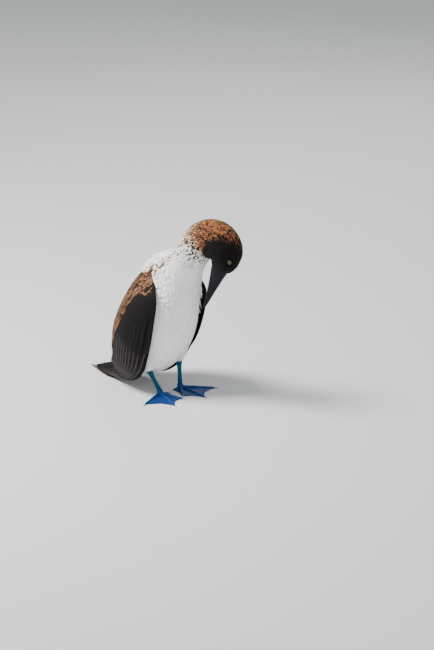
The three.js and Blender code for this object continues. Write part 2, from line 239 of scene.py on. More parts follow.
def dress(piece, material, colours, uv_of_points):
    """Gives a piece its material, its points' colours, which the material reads as Tint, and its map."""
    mesh = piece.data
    mesh.materials.append(material)
    rgba = np.ones((len(mesh.vertices), 4), np.float32)
    rgba[:, :3] = linear(colours)
    tint = mesh.color_attributes.new("Tint", "FLOAT_COLOR", "POINT")
    tint.data.foreach_set("color", rgba.ravel())
    corner = np.zeros(len(mesh.loops), np.int32)
    mesh.loops.foreach_get("vertex_index", corner)
    layer = mesh.uv_layers.new(name="OFBake")
    layer.data.foreach_set("uv", uv_of_points[corner].astype(np.float32).ravel())


def unrolled(rings, around):
    """Map places for rings of points laid out flat, one ring to a row."""
    u, v = np.meshgrid(np.linspace(0.02, 0.98, around), np.linspace(0.02, 0.98, rings))
    return np.stack([u.ravel(), v.ravel()], -1)


def side_faces(index):
    """Quads between each row of point numbers and the next one, closed round the row."""
    this, following = index[..., :-1, :], index[..., 1:, :]
    return np.stack([this, following, np.roll(following, -1, -1), np.roll(this, -1, -1)], -1).reshape(-1, 4)


def loft_faces(rings, around):
    """Faces of a closed loft through rings of points, with a cap at both ends."""
    index = np.arange(rings * around).reshape(rings, around)
    return [*side_faces(index), index[0], index[-1, ::-1]]


# Materials
class Nodes:
    """A material being built from shader nodes."""

    def __init__(self, name):
        self.material = bpy.data.materials.new(name)
        self.material.use_nodes = True
        self.tree = self.material.node_tree
        self.shader = self.tree.nodes["Principled BSDF"]

    def add(self, kind, **settings):
        node = self.tree.nodes.new(kind)
        for key, value in settings.items():
            if key in node.inputs:
                node.inputs[key].default_value = value
            else:
                setattr(node, key, value)
        return node

    def link(self, a, b):
        self.tree.links.new(a, b)

    def maths(self, operation, a, b):
        node = self.add("ShaderNodeMath", operation=operation)
        for k, value in enumerate((a, b)):
            if isinstance(value, (int, float)):
                node.inputs[k].default_value = value
            else:
                self.link(value, node.inputs[k])
        return node.outputs[0]

    def noise(self, scale, detail=3.0):
        where = self.add("ShaderNodeTexCoord").outputs["Object"]
        node = self.add("ShaderNodeTexNoise", Scale=scale, Detail=detail)
        self.link(where, node.inputs["Vector"])
        return node.outputs["Fac"]

    def tinted(self, amount, low, high):
        """The points' colour, made from low to high times as light by an amount from 0 to 1."""
        spread = self.add("ShaderNodeMapRange", **{"To Min": low, "To Max": high})
        self.link(amount, spread.inputs["Value"])
        attribute = self.add("ShaderNodeAttribute", attribute_name="Tint")
        scale = self.add("ShaderNodeVectorMath", operation="SCALE")
        self.link(attribute.outputs["Color"], scale.inputs[0])
        self.link(spread.outputs["Result"], scale.inputs["Scale"])
        self.link(scale.outputs["Vector"], self.shader.inputs["Base Color"])

    def bump(self, height, strength, distance):
        node = self.add("ShaderNodeBump", Strength=strength, Distance=distance)
        self.link(height, node.inputs["Height"])
        self.link(node.outputs["Normal"], self.shader.inputs["Normal"])

    def finish(self, roughness, specular=0.5, sheen=0.0, coat=0.0):
        self.shader.inputs["Roughness"].default_value = roughness
        self.shader.inputs["Specular IOR Level"].default_value = specular
        self.shader.inputs["Sheen Weight"].default_value = sheen
        self.shader.inputs["Coat Weight"].default_value = coat
        return self.material


BARB_SLANT = 0.7
PLUMAGE_SPECULAR = 0.15
BARB_RELIEF = 0.0003
PEBBLE_RELIEF = 0.0004


def plumage_material(name, roughness, sheen, barb_scale, barb_depth):
    """Feathers: the tint on the points, with fine slanting barbs on both sides of each shaft."""
    nodes = Nodes(name)
    local = nodes.add("ShaderNodeAttribute", attribute_name="Vane")
    parts = nodes.add("ShaderNodeSeparateXYZ")
    nodes.link(local.outputs["Vector"], parts.inputs[0])
    aside = nodes.maths("ABSOLUTE", parts.outputs["X"], 0)
    slanted = nodes.maths("SUBTRACT", parts.outputs["Y"], nodes.maths("MULTIPLY", aside, BARB_SLANT))
    wobble = nodes.maths("MULTIPLY", nodes.noise(420), 1.2)
    regular = nodes.maths("MULTIPLY", slanted, barb_scale)
    phase = nodes.maths("ADD", regular, nodes.maths("MULTIPLY", wobble, 6))
    barbs = nodes.maths("SINE", phase, 0)
    shade = nodes.maths("ADD", nodes.maths("MULTIPLY", barbs, 0.22), nodes.noise(160, 4))
    nodes.tinted(shade, 0.82, 1.12)
    nodes.bump(barbs, barb_depth, BARB_RELIEF)
    return nodes.finish(roughness, PLUMAGE_SPECULAR, sheen)


def mottled_material(name, roughness, specular, grain, depth, coat=0.0, low=0.8, high=1.15):
    """Horn, skin and eyes: the tint on the points over a fine pebbled grain."""
    nodes = Nodes(name)
    cells = nodes.add("ShaderNodeTexVoronoi", Scale=grain)
    where = nodes.add("ShaderNodeTexCoord").outputs["Object"]
    nodes.link(where, cells.inputs["Vector"])
    nodes.tinted(nodes.noise(grain / 4), low, high)
    nodes.bump(cells.outputs["Distance"], depth, PEBBLE_RELIEF)
    return nodes.finish(roughness, specular, 0.0, coat)


SOFT = plumage_material("soft_plumage", roughness=0.9, sheen=0.05, barb_scale=5200, barb_depth=0.1)
STIFF = plumage_material("stiff_plumage", roughness=0.62, sheen=0.0, barb_scale=4200, barb_depth=0.4)
SKIN = mottled_material("skin_under_feathers", roughness=0.9, specular=0.2, grain=500, depth=0.3)
HORN = mottled_material("bill_horn", roughness=0.5, specular=0.14, grain=260, depth=0.15)
BARE = mottled_material("bare_skin", roughness=0.55, specular=0.2, grain=900, depth=0.35)
EYE = mottled_material(
    "eye_surface", roughness=0.08, specular=0.4, grain=900, depth=0.02, coat=0.15, low=0.92, high=1.05
)


def claw_material():
    """Claws: pale horn, darker in fine streaks."""
    nodes = Nodes("claw_horn")
    colours = nodes.add("ShaderNodeValToRGB")
    colours.color_ramp.elements[0].color = (*linear(CLAW_DARK), 1)
    colours.color_ramp.elements[1].color = (*linear(CLAW_PALE), 1)
    nodes.link(nodes.noise(900), colours.inputs["Fac"])
    nodes.link(colours.outputs["Color"], nodes.shader.inputs["Base Color"])
    return nodes.finish(0.35)


CLAW = claw_material()


# One skin for trunk, neck, head and thighs
FLESH = ("trunk", "neck", "head", "thigh_left", "thigh_right")


def joined(name, nodes, voxel, rounds):
    """A copy of some CAD nodes made one smooth surface."""
    body = bmesh.new()
    for node in nodes:
        body.from_mesh(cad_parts[node].data)
    mesh = bpy.data.meshes.new(name)
    body.to_mesh(mesh)
    body.free()
    piece = new_object(name, mesh)
    piece.modifiers.new("whole", "REMESH").voxel_size = voxel
    smoother = piece.modifiers.new("even", "SMOOTH")
    smoother.factor = 0.5
    smoother.iterations = rounds
    done = bpy.data.meshes.new_from_object(piece.evaluated_get(bpy.context.evaluated_depsgraph_get()))
    piece.modifiers.clear()
    piece.data = done
    done.materials.clear()
    done.shade_smooth()
    return piece


def points_of(mesh):
    found = np.zeros(len(mesh.vertices) * 3, np.float32)
    mesh.vertices.foreach_get("co", found)
    return found.reshape(-1, 3).astype(float)


def normals_of(mesh):
    found = np.zeros(len(mesh.vertices) * 3, np.float32)
    mesh.vertex_normals.foreach_get("vector", found)
    return found.reshape(-1, 3).astype(float)


# Where a point is on the body's tube: its row, and its angle from the back
ROWS = np.linspace(0, len(BODY) - 1, 420)
TURNS = np.linspace(-math.pi, math.pi, 200, endpoint=False)
grid_t, grid_a = (g.ravel() for g in np.meshgrid(ROWS, TURNS, indexing="ij"))
tube_tree = KDTree(len(grid_t))
for number, point in enumerate(metres(on_body(grid_t, grid_a, -COAT_DEPTH))):
    tube_tree.insert(point, number)
tube_tree.balance()


def on_tube_of(points):
    """The row and angle of the place on the tube that is nearest to each point."""
    found = np.array([tube_tree.find(p)[1] for p in points])
    return grid_t[found], grid_a[found]


HEAD_THINNER, HEAD_ROWS = 1.2, (8, 12)
FACE_THINNER, BARE_ROWS = 0.7, (12.8, 14)


def coat_depth(t):
    """How far the skin lies inside the CAD surface, in metres: less on the head, least on the face."""
    return (COAT_DEPTH - HEAD_THINNER * ramp(t, *HEAD_ROWS) - FACE_THINNER * ramp(t, *BARE_ROWS)) / 1000


SKIN_VOXEL = 0.0026
SKIN_ROUNDS = 6
skin = joined("skin", FLESH, SKIN_VOXEL, SKIN_ROUNDS)
skin_points = points_of(skin.data)
skin_t, skin_a = on_tube_of(skin_points)
skin_points -= normals_of(skin.data) * coat_depth(skin_t)[:, None]
skin.data.vertices.foreach_set("co", skin_points.astype(np.float32).ravel())
skin.data.update()
settle(skin, FLESH)
skin_faces = [tuple(face.vertices) for face in skin.data.polygons]
skin_tree = BVHTree.FromPolygons([tuple(point) for point in skin_points], skin_faces)


# Markings, the same for skin and coat. Rows are body rows, lengths are in millimetres.
LATTICE = np.random.default_rng(3).random((97, 89))
LINE_SPACING = 3.7
BREAK_WIDTH = 2.2
BREAK_LENGTH = 4.5
ROW_LENGTH = 30.0
GIRTH = 40.0
# A marking starts at one row and is full at the next; at the throat it does so some rows later or earlier.
BROWN_ROWS, BROWN_THROAT_LATER = (8.1, 9.7), (1.7, 1.3)
LINED_ROWS, LINED_THROAT_LATER = (7.2, 8.6), (0.9, 1.2)
CINNAMON_ROWS = (9.0, 10.7)
FACE_ROWS, FACE_THROAT_EARLIER = (11.5, 12.3), 2.3
BARE_FACE_ROWS = (13.4, 13.6)
STRIP_ANGLE, STRIP_WIDTH = 1.05, 0.2
STRIP_ROWS, STRIP_END_ROWS = (5.4, 5.9), (7.7, 8.6)
MANTLE_ROWS = (5.75, 6.15)
MANTLE_EDGE = (0.32, 0.44)


def lattice_noise(x, y):
    """Smooth noise from 0 to 1, with one random value at each whole step of x and y."""
    column, row = np.floor(x).astype(int), np.floor(y).astype(int)
    u, v = ramp(x - column, 0, 1), ramp(y - row, 0, 1)
    wide, tall = LATTICE.shape
    a, b, c, d = (LATTICE[(column + i) % wide, (row + j) % tall] for j in (0, 1) for i in (0, 1))
    return (a * (1 - u) + b * u) * (1 - v) + (c * (1 - u) + d * u) * v


def streaks(t, angle, dark):
    """Wavy, broken lines along the lie of the coat, 0 where they are dark and 1 between them.
    dark sets how much of the coat they take up."""
    across = angle * GIRTH
    along = t * ROW_LENGTH
    bend = 1.3 * np.sin(along / 4.5 + 5 * lattice_noise(across / 10, along / 13))
    drift = 7 * lattice_noise(across / 15, along / 17)
    wave = 0.5 + 0.5 * np.sin((across + bend + drift) * 2 * math.pi / LINE_SPACING)
    broken = lattice_noise(across / BREAK_WIDTH, along / BREAK_LENGTH)
    return ramp(0.5 * wave + 0.5 * broken, dark - 0.1, dark + 0.1)


def line_darkness(t):
    """How much of the coat the dark lines take up: little on the neck, most on the forehead."""
    return 0.39 + 0.13 * ramp(t, 8.5, 10.5) + 0.06 * ramp(t, 10.5, 12)


def later(rows, throat_later, ventral, t):
    """A ramp over two rows that come later towards the throat."""
    return ramp(t, rows[0] + throat_later[0] * ventral, rows[1] + throat_later[1] * ventral)


def markings(t, angle):
    """The colour at a place on the body, and how brown the feathers are there."""
    ventral = (1 - np.cos(angle)) / 2
    line = streaks(t, angle, line_darkness(t))
    brown = later(BROWN_ROWS, BROWN_THROAT_LATER, ventral, t)
    lined = later(LINED_ROWS, LINED_THROAT_LATER, ventral, t)
    beside_nape = np.exp(-(((np.abs(angle) - STRIP_ANGLE) / STRIP_WIDTH) ** 2))
    strip = beside_nape * ramp(t, *STRIP_ROWS) * (1 - ramp(t, *STRIP_END_ROWS))
    mantle = (1 - ramp(t, *MANTLE_ROWS)) * (1 - ramp(ventral, *MANTLE_EDGE))
    pale = mix(WHITE, mix(CREAM, CINNAMON, ramp(t, *CINNAMON_ROWS)), brown)
    pale = mix(pale, mix(CREAM, CINNAMON, 0.4), np.maximum(mantle, 0.6 * strip))
    depth = np.maximum(np.maximum(0.92 * lined, 0.85 * strip), 0.95 * mantle)
    ground = mix(pale, DARK_BROWN, depth * (1 - line))
    ragged = t + 0.5 * (0.5 - line)
    # The face and throat take the dark face colour, which is real dark brown plus painted shade, with fewer
    # pale tips and less spread of tone.
    face = later(FACE_ROWS, (-FACE_THROAT_EARLIER, -FACE_THROAT_EARLIER), ventral, ragged)
    ground = mix(ground, FACE_BROWN_AND_SHADE, face)
    ground = mix(ground, FACE_SKIN, ramp(t, *BARE_FACE_ROWS))
    return ground, np.maximum(brown, mantle) * (1 - 0.85 * face)


def body_uv(t, angle):
    return np.stack([angle / (2 * math.pi) + 0.5, t / (len(BODY) - 1)], -1)


dress(skin, SKIN, markings(skin_t, skin_a)[0], body_uv(skin_t, skin_a))


# Vanes: every feather is a thin closed strip over a path, with a raised shaft
PATCH_HALF_WIDTH = 0.0015
PATCH_LENGTH = 0.003
THREE_COLUMNS = np.array((-1.0, 0.0, 1.0))


def crease(mesh, columns):
    """Sharp edges along both sides of each vane, so that it is lit as a flat blade and not as a rod."""
    ends = np.zeros(len(mesh.edges) * 2, np.int32)
    mesh.edges.foreach_get("vertices", ends)
    column = ends.reshape(-1, 2) % columns
    sides = (column[:, 0] == column[:, 1]) & ((column[:, 0] == 0) | (column[:, 0] == columns - 1))
    mesh.attributes.new("sharp_edge", "BOOLEAN", "EDGE").data.foreach_set("value", sides)


def vanes(name, path, out, width, tint, root_uv, across, material, crown, tilt=0.0, replaces=()):
    """Many feathers as one piece, each with a patch of the map. path and out are (feathers, stations, 3) in
    metres, width (feathers, stations) or (stations), tint (feathers, stations, columns, 3), root_uv
    (feathers, 2) and across the columns from -1 to 1. crown is how high the shaft lies and tilt how far one
    edge is raised and the other lowered, both as shares of the half width."""
    feathers, stations, _ = path.shape
    columns = len(across)
    along = unit(np.gradient(path, axis=1))
    side = unit(np.cross(out, along))
    half = width[..., None, None] / 2
    a = across[:, None]
    height = half * (crown * (1 - np.abs(a)) + tilt * a)
    points = path[:, :, None, :] + half * a * side[:, :, None, :] + height * out[:, :, None, :]
    index = np.arange(feathers * stations * columns).reshape(feathers, stations, columns)
    piece = mesh_object(name, points.reshape(-1, 3), side_faces(index), replaces)
    crease(piece.data, columns)
    steps = np.linalg.norm(np.diff(path, axis=1), axis=-1).cumsum(1)
    steps = np.concatenate([np.zeros((feathers, 1)), steps], 1)
    local = np.zeros((feathers, stations, columns, 3), np.float32)
    local[..., 0] = (width / 2)[..., None] * across
    local[..., 1] = steps[..., None]
    vane = piece.data.attributes.new("Vane", "FLOAT_VECTOR", "POINT")
    vane.data.foreach_set("vector", local.ravel())
    share = steps / np.maximum(steps[:, -1:], 1e-9)
    uv = np.empty((feathers, stations, columns, 2))
    uv[..., 0] = root_uv[:, None, None, 0] + PATCH_HALF_WIDTH * across
    uv[..., 1] = root_uv[:, None, None, 1] + PATCH_LENGTH * share[..., None]
    dress(piece, material, tint.reshape(-1, 3), np.clip(uv, 0, 1).reshape(-1, 2))


TRIES_PER_PLACE = 3.2


def scattered(mesh, keep, gap, seed):
    """Points spread evenly over a mesh, at least gap metres apart, where keep(t, places) allows them."""
    source = np.random.default_rng(seed)
    mesh.calc_loop_triangles()
    corners = np.zeros(len(mesh.loop_triangles) * 3, np.int32)
    mesh.loop_triangles.foreach_get("vertices", corners)
    corners = corners.reshape(-1, 3)
    co, normal = points_of(mesh), normals_of(mesh)
    triangles = co[corners]
    middle_t = skin_t[corners].mean(1)
    one_side, other_side = triangles[:, 1] - triangles[:, 0], triangles[:, 2] - triangles[:, 0]
    area = np.linalg.norm(np.cross(one_side, other_side), axis=1) * keep(middle_t, triangles.mean(1))
    count = int(area.sum() / 2 / (gap * gap) * TRIES_PER_PLACE)
    chosen = source.choice(len(area), count, p=area / area.sum())
    weights = source.dirichlet((1, 1, 1), count)
    places = (triangles[chosen] * weights[..., None]).sum(1)
    normals = unit((normal[corners[chosen]] * weights[..., None]).sum(1))
    taken, kept = {}, []
    cells = np.floor(places / gap).astype(int)
    for k, cell in enumerate(map(tuple, cells)):
        near = (
            other
            for i in (-1, 0, 1)
            for j in (-1, 0, 1)
            for h in (-1, 0, 1)
            for other in taken.get((cell[0] + i, cell[1] + j, cell[2] + h), ())
        )
        if all(((places[k] - places[other]) ** 2).sum() > gap * gap for other in near):
            taken.setdefault(cell, []).append(k)
            kept.append(k)
    return places[kept], normals[kept]


THIGH_DOWN = np.array((0.0, 0.35, -1.0))
THIGH_AWAY = 0.011
# A small feather's stations along its length, with its width and height there, and how pale its edge is
STATIONS = np.array((0, 0.4, 0.78, 1.0))
ROUND_TIP = (0.6, 1.0, 0.8, 0.12)
LYING = (0.15, 0.75, 1.0, 0.9)
TIP_SHARES = (0, 0, 0.3, 1.0)
COAT_CROWN = 0.06
SIZES = (0.8, 1.2)
LIFTS = (0.8, 1.12)
TONE_SPREAD = 0.2


def coat(name, keep, gap, length, width, lift, seed, slot, stray=0.16, heights=LYING):
    """A coat of small feathers over part of the skin. length, width and lift give millimetres at rows t.
    stray is how far the feathers turn from the lie of the coat, in radians."""
    source = np.random.default_rng(seed)
    roots, normals = scattered(skin.data, keep, gap, seed)
    t, angle = on_tube_of(roots)
    _, ahead, _, _, _ = body_frame(t)
    flow = -ahead
    off_tube = ((metres(on_body(t, angle, -COAT_DEPTH)) - roots) ** 2).sum(1) > THIGH_AWAY**2
    flow[off_tube] = THIGH_DOWN
    turn = source.normal(0, stray, len(roots))[:, None]
    flow = unit(flow - dot(flow, normals) * normals)
    flow = unit(flow + turn * np.cross(normals, flow))
    size = source.uniform(*SIZES, len(roots))
    lengths = length(t) * size / 1000
    path = np.empty((len(roots), len(STATIONS), 3))
    out = np.empty_like(path)
    rise = lift(t) * source.uniform(*LIFTS, len(roots)) / 1000
    for k, share in enumerate(STATIONS):
        guess = roots + flow * (lengths * share)[:, None]
        for n, point in enumerate(guess):
            spot, normal, _, _ = skin_tree.find_nearest(Vector(point))
            path[n, k] = spot
            out[n, k] = normal
        out[:, k] = np.where(dot(out[:, k], normals) < 0, normals, out[:, k])
        path[:, k] += out[:, k] * (rise * heights[k])[:, None]
    widths = (width(t) * size / 1000)[:, None] * np.asarray(ROUND_TIP)
    ground, browner = markings(t, angle)
    tone = 1 + source.uniform(-TONE_SPREAD, TONE_SPREAD, len(roots)) * (0.12 + 0.7 * browner)
    ground = ground * tone[:, None]
    tint = np.empty((len(roots), len(STATIONS), 3, 3))
    for k, tip_share in enumerate(TIP_SHARES):
        edge = mix(ground, mix(ground, CREAM, 0.22), browner * tip_share)
        tint[:, k, 0] = edge
        tint[:, k, 1] = mix(edge, DARK_BROWN, 0.35 * browner * (1 - tip_share))
        tint[:, k, 2] = edge
    vanes(name, path, out, widths, tint, body_uv(t, angle), THREE_COLUMNS, SOFT, COAT_CROWN)


EYE_CENTRES = {side: metres(centre) for side, centre in EYES.items()}
EYE_CLEARING = 0.0068


def outside_eyes(points):
    clear = np.ones(len(points), bool)
    for centre in EYE_CENTRES.values():
        clear &= np.linalg.norm(points - centre, axis=1) > EYE_CLEARING
    return clear


def is_head(t, places):
    return (t > 10.6) & (t < 13.55) & outside_eyes(places)


def degrees_round(t, places):
    """How far round from the middle of the back places on the body are, in degrees."""
    _, _, side, back, middle = body_frame(t)
    away = places * 1000 - SHIFT - middle
    return np.degrees(np.abs(np.arctan2((away * side).sum(1), (away * back).sum(1))))


def is_shoulder(t, places):
    """The sides of the lower neck and upper breast, where loose feathers lap over the wings' front edges."""
    angle = degrees_round(t, places)
    return (t > 4.9) & (t < 7.3) & (angle > 62) & (angle < 126 + 26 * ramp(t, 5.6, 6.4))


def is_nape(t, places):
    """The white hump where the neck meets the back."""
    return (t > 6.05) & (t < 7.2) & (degrees_round(t, places) < 50)


def rows_between(low, high):
    return lambda t, places: (t > low) & (t <= high)


def steady(size):
    return lambda t: size + 0 * t


def eased(start, end, rows):
    """A size that goes from start to end between two rows of the body."""
    return lambda t: start + (end - start) * ramp(t, *rows)


coat(
    "coat_head",
    is_head,
    gap=0.00115,
    length=eased(8.5, 3.2, (10.8, 13.2)),
    width=eased(2.3, 1.2, (11, 13.2)),
    lift=eased(1.25, 0.45, (11.5, 13.3)),
    seed=11,
    slot="head_plumage",
)
coat(
    "coat_neck",
    rows_between(6.8, 10.65),
    gap=0.0016,
    length=eased(12, 9.5, (7, 10.5)),
    width=eased(3.0, 2.4, (7, 10.5)),
    lift=eased(2.4, 1.6, (7, 10.5)),
    seed=12,
    slot="head_plumage",
)
for name, low, high, gap, lift, seed in (
    ("coat_breast", 5.1, 6.9, 0.0021, eased(2.0, 3.6, (6, 6.6)), 13),
    ("coat_flanks", 3.3, 5.2, 0.0021, steady(1.9), 16),
    ("coat_belly", -1, 3.4, 0.0022, steady(1.9), 14),
):
    coat(name, rows_between(low, high), gap, steady(15.0), steady(4.0), lift, seed, "white_plumage", 0.22)
coat(
    "coat_nape",
    is_nape,
    gap=0.0034,
    length=steady(19.0),
    width=steady(5.0),
    lift=eased(7.5, 5.0, (6.7, 7.1)),
    seed=17,
    slot="white_plumage",
    stray=0.35,
    heights=(0.2, 0.85, 1.0, 0.7),
)
coat(
    "coat_shoulder",
    is_shoulder,
    gap=0.0038,
    length=steady(16.0),
    width=steady(7.0),
    lift=eased(7.0, 4.5, (6, 7)),
    seed=15,
    slot="white_plumage",
    stray=0.5,
    heights=(0.2, 0.7, 1.0, 0.95),
)


# Wings
WING_FULLNESS = 0.65
BLADE_RINGS = 70
BLADE_ACROSS = 15


def wing_point(u, v, out):
    """A point on a wing's outer face, v 0 at its back edge and 1 at its front edge. out is 1 for the left
    wing, whose front edge is moved sideways by the table's out, and 0 for the right."""
    u, v = np.broadcast_arrays(np.asarray(u, float), np.asarray(v, float))
    w, change = numbers_near(WING, WING_KEYS, u)
    back = place(w["bf"], w["bl"], w["bz"])
    across = place(w["ff"], w["fl"] + w["out"] * out, w["fz"]) - back
    run = place(change["ff"] + change["bf"], 0, change["fz"] + change["bz"])
    outward = unit(np.cross(across, run))
    bulge = w["bulge"] * np.maximum(4 * v * (1 - v), 0) ** WING_FULLNESS
    return back + across * v[..., None] + outward * bulge[..., None]


def wing_normal(u, v, out):
    u = np.clip(u, 0.03, len(WING) - 1.03)
    v = np.clip(v, 0.05, 0.95)
    down = wing_point(u + 0.02, v, out) - wing_point(u - 0.02, v, out)
    forward = wing_point(u, v + 0.02, out) - wing_point(u, v - 0.02, out)
    return unit(np.cross(forward, down))


def on_wing(u, v, height, side):
    """Points and outward ways on a wing's face, height in millimetres above it, in metres."""
    out = 1 if side == "left" else 0
    points = wing_point(u, v, out)
    normal = wing_normal(u, v, out)
    points = points + normal * np.asarray(height)[..., None]
    if side == "right":
        points = points * (-1, 1, 1)
        normal = normal * (-1, 1, 1)
    return metres(points), normal


def wing_blade(side):
    """The closed core of a wing under its feathers, with its three CAD nodes' outline."""
    us = np.linspace(0.02, len(WING) - 1.02, BLADE_RINGS)
    vs = (1 - np.cos(np.linspace(0, math.pi, BLADE_ACROSS))) / 2
    grid_u, grid_v = np.meshgrid(us, vs, indexing="ij")
    thick = numbers_at(WING, WING_KEYS, grid_u)["thick"]
    # The core lies under the outer face, thickest behind the front edge, and keeps clear of the body.
    depth = 0.4 + 0.75 * thick * 1.5 * grid_v * np.maximum(1 - grid_v, 0) ** 0.4
    sunk = 0.25 + 1.9 * np.minimum(1, thick / 9) * (4 * grid_v * (1 - grid_v)) ** 0.3
    outer, _ = on_wing(grid_u, grid_v, -sunk, side)
    inner, _ = on_wing(grid_u, grid_v, -sunk - depth, side)
    rings = np.concatenate([inner, outer[:, ::-1]], 1)
    if side == "right":
        rings = rings[:, ::-1]
    nodes = [f"wing_{side}_{part}" for part in ("coverts", "secondaries", "primaries")]
    faces = loft_faces(*rings.shape[:2])
    piece = mesh_object(f"wing_core_{side}", rings.reshape(-1, 3), faces, nodes)
    u_share = np.repeat(us / (len(WING) - 1), rings.shape[1])
    v_share = np.tile(np.concatenate([vs * 0.48, 0.52 + vs * 0.48]), len(us))
    # The wing core under the feathers takes the near-black wing colour, which is dark brown plus painted
    # shade.
    dress(piece, SKIN, WING_BROWN_AND_SHADE, np.stack([v_share, u_share], -1))


WING_COLUMNS = np.array((-1, -0.5, -0.07, 0, 0.07, 0.6, 0.72, 1))
FRONT_UP = 0.09
WING_CROWN = 0.07
# Widths along a feather, and how far across the wing the scapulars reach, as pairs of place and size
FLIGHT = ((0, 0.55), (0.1, 0.85), (0.6, 1.0), (0.85, 0.85), (0.95, 0.5), (1, 0.12))
COVERT = ((0, 0.6), (0.5, 1.0), (0.8, 0.9), (0.93, 0.6), (1, 0.2))
SCAPULARS_TO = (
    (0, 0.97), (0.4, 0.95), (0.75, 0.7), (1.3, 0.6), (2.1, 0.56), (3.0, 0.5), (3.6, 0.42), (4.1, 0.28)
)


def wing_feathers(name, side, start, end, v_start, v_end, width, profile, height, colours, stations):
    """Feathers laid along a wing from row start to row end of WING. width and height are in millimetres,
    and height is given at root and tip. Each laps with its front edge over the next one ahead of it."""
    shares = np.linspace(0, 1, stations)
    given = np.broadcast_arrays(start, end, v_start, v_end, width, *height)
    start, end, v_start, v_end, width, low, high = (values[:, None] for values in given)
    u = start + (end - start) * shares
    v = v_start + (v_end - v_start) * shares
    path, out = on_wing(u, v, low + (high - low) * shares, side)
    widths = width / 1000 * np.interp(shares, *zip(*profile))
    tint = colours(shares, WING_COLUMNS, len(u))
    root_uv = np.hstack([np.clip(v_start, 0, 1) * 0.96 + 0.02, start / len(WING)])
    across, tilt = WING_COLUMNS, FRONT_UP
    if side == "left":
        across, tilt, tint = -WING_COLUMNS[::-1], -FRONT_UP, tint[:, :, ::-1]
    vanes(name, path, out, widths, tint, root_uv, across, STIFF, WING_CROWN, tilt)


def banded(ground, edge, shaft, tip, source, spread=0.12, edge_share=0.8, both_edges=0.0, dark=0.0):
    """Colours of stiff feathers: their ground, pale front edge, shaft and tip. dark is the share of them,
    for all or for each, that has no pale parts."""

    def colours(shares, across, count):
        pale = (source.random(count) >= dark)[:, None, None]
        tone = source.uniform(1 - spread, 1 + spread, (count, 1, 1, 1)) * np.where(pale, 1, 0.5)[..., None]
        front = ramp(across, 0.6, 0.72) + both_edges * ramp(-across, 0.4, 0.9)
        pale_edge = front * ramp(shares, 0.15, 0.4)[:, None]
        tint = mix(np.asarray(ground) * tone, edge, pale_edge * edge_share * pale)
        tint = mix(tint, tip, ramp(shares, 0.86, 1.0)[:, None] * 0.7 * pale)
        return mix(tint, shaft, (np.abs(across) < 0.03) * 0.6)

    return colours


def shingled(rows, reach, spacing, source):
    """Places (u, v) in rows across a wing, each row set half a feather aside from the last one."""
    us, vs = [], []
    for number, u in enumerate(rows):
        count = max(3, int(reach(u) / spacing))
        vs.append(0.01 + (np.arange(count) + 0.5 * (number % 2)) / (count - 0.5) * (reach(u) - 0.01))
        us.append(u + source.uniform(-0.04, 0.04, count))
    return np.concatenate(us), np.clip(np.concatenate(vs), 0.005, 0.985)


def wing_rows(side):
    """A wing's feathers, from those that lie lowest to those on top."""
    source = np.random.default_rng(21)
    # All wing feathers start from the near-black wing colour, which is real dark brown plus painted shade.
    dark_shaft = mix(WING_BROWN_AND_SHADE, (0, 0, 0), 0.4)
    dull = mix(WING_BROWN_AND_SHADE, WING_EDGE, 0.25)
    striped = banded(WING_BROWN_AND_SHADE, WING_EDGE, dark_shaft, dull, source)
    plain = banded(WING_BROWN_AND_SHADE, dull, dark_shaft, dull, source, spread=0.2, edge_share=0.5)
    tan = mix(CREAM, CINNAMON, 0.65)
    n = np.arange(10)
    wing_feathers(
        f"primaries_{side}", side, start=3.0, end=6.9 + 2.05 * (n / 9) ** 0.9,
        v_start=0.62 + 0.04 * n, v_end=0.42 + 0.055 * n, width=17 - 0.4 * n, profile=FLIGHT,
        height=(-1.5, -0.3 - 0.04 * n), colours=striped, stations=16,
    )
    n = np.arange(18)
    wing_feathers(
        f"secondaries_{side}", side, start=1.6 + 0.02 * n, end=6.5 - 0.055 * n,
        v_start=0.05 + 0.055 * n, v_end=0.04 + 0.053 * n, width=17.5, profile=FLIGHT,
        height=(-1.0 - 0.02 * n, 0.2 - 0.03 * n), colours=striped, stations=14,
    )
    n = np.arange(19)
    v = 0.03 + 0.0531 * n
    wing_feathers(
        f"greater_coverts_{side}", side, start=1.2, end=2.5 + 0.085 * n,
        v_start=v, v_end=v, width=15.5, profile=COVERT,
        height=(-0.6, 0.7), colours=plain, stations=8,
    )
    n = np.arange(22)
    v = 0.02 + 0.046 * n
    wing_feathers(
        f"median_coverts_{side}", side, start=0.7, end=1.75 + 0.045 * n,
        v_start=v, v_end=v, width=13.5, profile=COVERT,
        height=(-0.2, 1.1), colours=plain, stations=7,
    )
    u, v = shingled(np.arange(0.05, 1.5, 0.15), lambda u: 0.98, 0.035, source)
    wing_feathers(
        f"lesser_coverts_{side}", side, start=u, end=u + source.uniform(0.38, 0.5, len(u)),
        v_start=v, v_end=v, width=11 + source.uniform(-1, 1, len(u)), profile=COVERT,
        height=(0, 1.5), colours=plain, stations=6,
    )
    u, v = shingled(np.arange(0.03, 4.3, 0.12), lambda u: np.interp(u, *zip(*SCAPULARS_TO)), 0.032, source)
    patches = 0.8 * (1 - ramp(lattice_noise(u * 9 + v * 5, v * 15 - u * 3), 0.3, 0.62))
    warm = banded(
        SCAPULAR, tan, DARK_BROWN, tan, source, spread=0.45, edge_share=0.7, both_edges=0.6, dark=patches
    )
    wing_feathers(
        f"scapulars_{side}", side, start=u, end=u + source.uniform(0.3, 0.45, len(u)),
        v_start=v, v_end=v * 0.98, width=7.6 + source.uniform(-1.2, 1.2, len(u)), profile=COVERT,
        height=(0.6, 2.0), colours=warm, stations=6,
    )


for wing_side in SIGNS:
    wing_blade(wing_side)
    wing_rows(wing_side)


# Tail
# Pairs of tail feathers beside the middle one
TAIL_PAIRS = 6
TAIL_LAST_ROW = 6
TAIL_FEATHER_WIDE = 0.0145
TAIL_CROWN = 0.1
TAIL_COVERTS = 90
TAIL_COVERT_WIDE = 0.010


